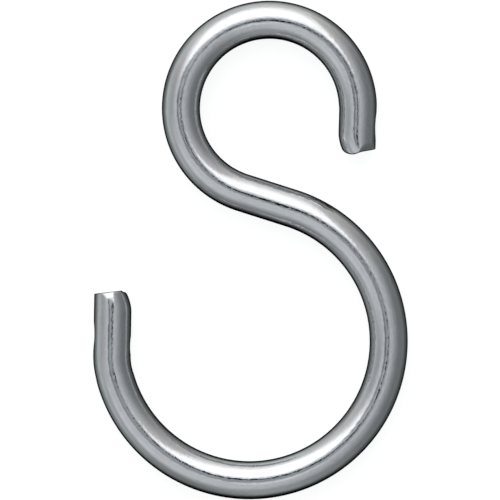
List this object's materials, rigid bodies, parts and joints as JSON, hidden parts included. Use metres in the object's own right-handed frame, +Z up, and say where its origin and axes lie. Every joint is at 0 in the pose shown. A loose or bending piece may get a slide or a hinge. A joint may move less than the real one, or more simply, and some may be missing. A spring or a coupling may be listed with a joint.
{
  "type": "s hook",
  "caption": "Asymmetric S hook bent from round bright steel wire: a small upper loop, a large lower loop and sheared ends.",
  "frame": {"origin": "under the middle of the hook's box, on the surface that the hook lies on", "axes": "+Y along the hook's length, towards the small upper loop; +X across it, towards the side where the small loop opens; +Z up from the surface, square to the plane of both loops"},
  "size_m": [0.0402, 0.0636, 0.0049],
  "materials": {
    "bright_wire": "bright plated steel, satin, with fine drawn lines along the wire"
  },
  "bodies": {
    "root": {"s_hook": "bright_wire"}
  },
  "joints": []
}
